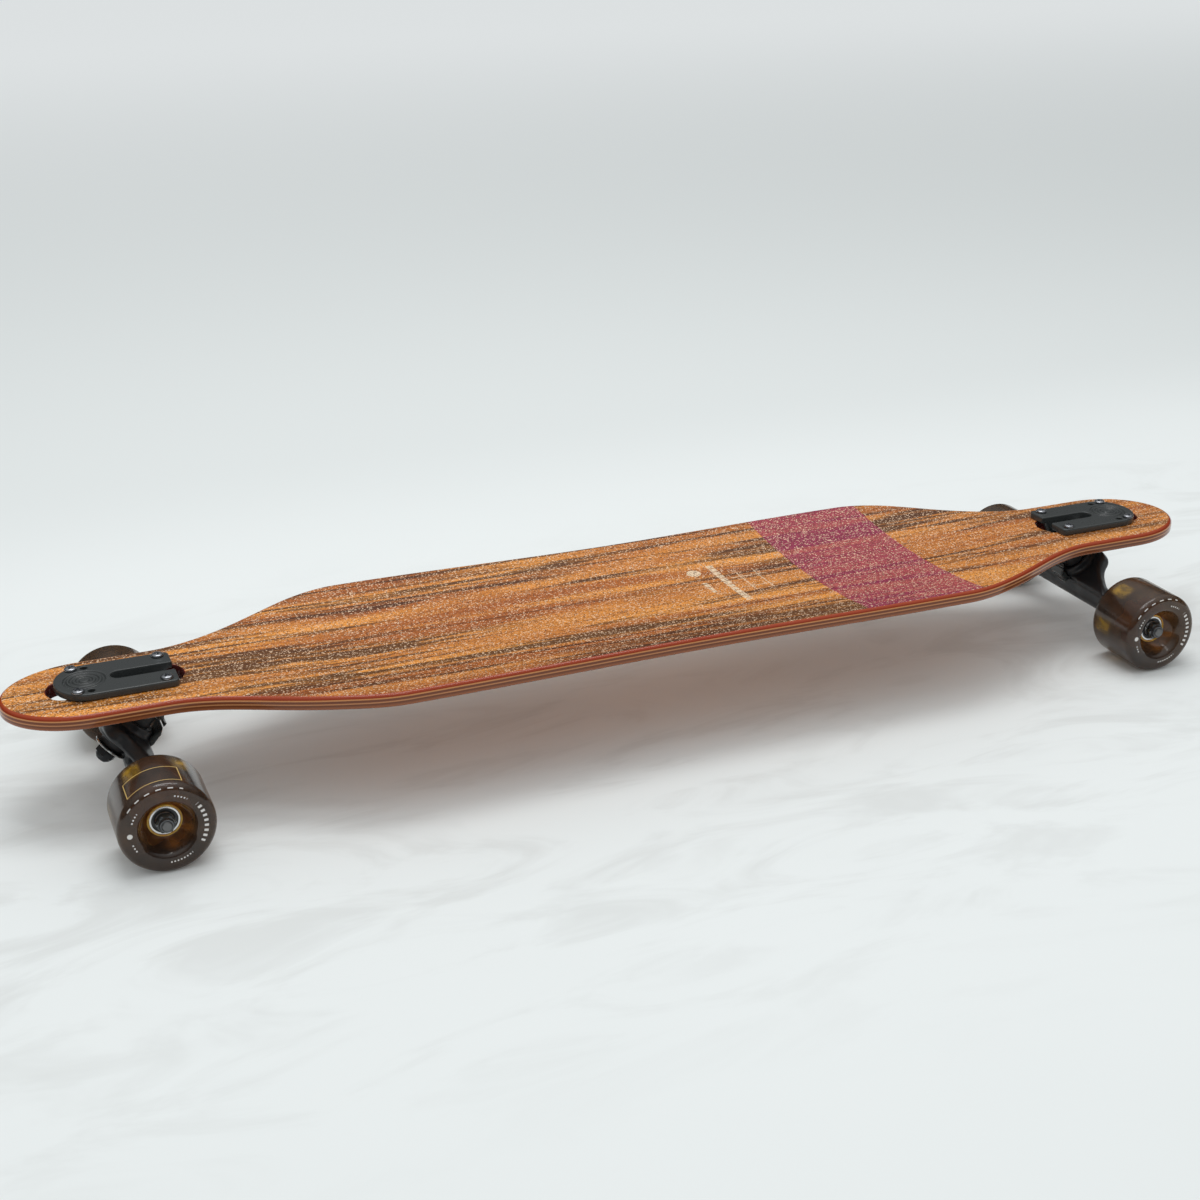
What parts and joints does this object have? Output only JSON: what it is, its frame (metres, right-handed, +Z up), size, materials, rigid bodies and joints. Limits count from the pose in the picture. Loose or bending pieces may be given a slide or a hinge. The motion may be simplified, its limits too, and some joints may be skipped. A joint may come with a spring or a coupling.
{
  "type": "longboard skateboard",
  "caption": "Drop-through longboard: waisted laminated deck with concave, reverse-kingpin trucks that steer when it leans, and wide urethane wheels on shielded bearings.",
  "frame": {"origin": "on the ground, under the middle of the deck", "axes": "+X runs along the deck to its front end, +Y to the rider's left, +Z up"},
  "size_m": [1.0152, 0.2568, 0.1016],
  "materials": {
    "wood": "clear gloss over figured veneer",
    "cast_black": "satin black coating",
    "steel": "plated",
    "dark_steel": "black oxide",
    "bushing": "matt urethane",
    "cup": "matt urethane",
    "urethane": "translucent smoky urethane",
    "core": "moulded nylon"
  },
  "bodies": {
    "deck": {"deck": "wood", "front_baseplate": "cast_black", "front_pivot_cup": "cup", "front_kingpin": "dark_steel", "front_kingpin_nut": "dark_steel", "front_boardside_washer": "steel", "front_roadside_washer": "steel", "front_boardside_bushing": "bushing", "front_roadside_bushing": "bushing", "front_outer_bolt_a": "dark_steel", "front_outer_bolt_b": "dark_steel", "front_inner_bolt_a": "dark_steel", "front_inner_bolt_b": "dark_steel", "front_outer_locknut_a": "dark_steel", "front_outer_locknut_b": "dark_steel", "front_inner_locknut_a": "dark_steel", "front_inner_locknut_b": "dark_steel", "rear_baseplate": "cast_black", "rear_pivot_cup": "cup", "rear_kingpin": "dark_steel", "rear_kingpin_nut": "dark_steel", "rear_boardside_washer": "steel", "rear_roadside_washer": "steel", "rear_boardside_bushing": "bushing", "rear_roadside_bushing": "bushing", "rear_outer_bolt_a": "dark_steel", "rear_outer_bolt_b": "dark_steel", "rear_inner_bolt_a": "dark_steel", "rear_inner_bolt_b": "dark_steel", "rear_outer_locknut_a": "dark_steel", "rear_outer_locknut_b": "dark_steel", "rear_inner_locknut_a": "dark_steel", "rear_inner_locknut_b": "dark_steel"},
    "front_hanger": {"front_hanger": "cast_black", "front_axle": "steel", "front_left_axle_nut": "dark_steel", "front_right_axle_nut": "dark_steel"},
    "front_left_wheel": {"front_left_tyre": "urethane", "front_left_core": "core", "front_left_outer_bearing": "steel", "front_left_inner_bearing": "steel"},
    "front_right_wheel": {"front_right_tyre": "urethane", "front_right_core": "core", "front_right_outer_bearing": "steel", "front_right_inner_bearing": "steel"},
    "rear_hanger": {"rear_hanger": "cast_black", "rear_axle": "steel", "rear_left_axle_nut": "dark_steel", "rear_right_axle_nut": "dark_steel"},
    "rear_left_wheel": {"rear_left_tyre": "urethane", "rear_left_core": "core", "rear_left_outer_bearing": "steel", "rear_left_inner_bearing": "steel"},
    "rear_right_wheel": {"rear_right_tyre": "urethane", "rear_right_core": "core", "rear_right_outer_bearing": "steel", "rear_right_inner_bearing": "steel"}
  },
  "joints": [
    {"name": "front_steer", "type": "hinge", "parent": "deck", "child": "front_hanger", "pos_m": [0.423, 0, 0.0574], "axis": [0.7071, 0, 0.7071], "range_deg": [-15, 15], "stiffness_Nm_per_rad": 40, "deforming": ["front_boardside_bushing", "front_roadside_bushing"]},
    {"name": "rear_steer", "type": "hinge", "parent": "deck", "child": "rear_hanger", "pos_m": [-0.423, 0, 0.0574], "axis": [-0.7071, 0, 0.7071], "range_deg": [-15, 15], "stiffness_Nm_per_rad": 40, "deforming": ["rear_boardside_bushing", "rear_roadside_bushing"]},
    {"name": "front_left_spin", "type": "hinge", "parent": "front_hanger", "child": "front_left_wheel", "pos_m": [0.42, 0.1024, 0.0345], "axis": [0, 1, 0], "continuous": true},
    {"name": "front_right_spin", "type": "hinge", "parent": "front_hanger", "child": "front_right_wheel", "pos_m": [0.42, -0.1024, 0.0345], "axis": [0, 1, 0], "continuous": true},
    {"name": "rear_left_spin", "type": "hinge", "parent": "rear_hanger", "child": "rear_left_wheel", "pos_m": [-0.42, 0.1024, 0.0345], "axis": [0, 1, 0], "continuous": true},
    {"name": "rear_right_spin", "type": "hinge", "parent": "rear_hanger", "child": "rear_right_wheel", "pos_m": [-0.42, -0.1024, 0.0345], "axis": [0, 1, 0], "continuous": true}
  ]
}
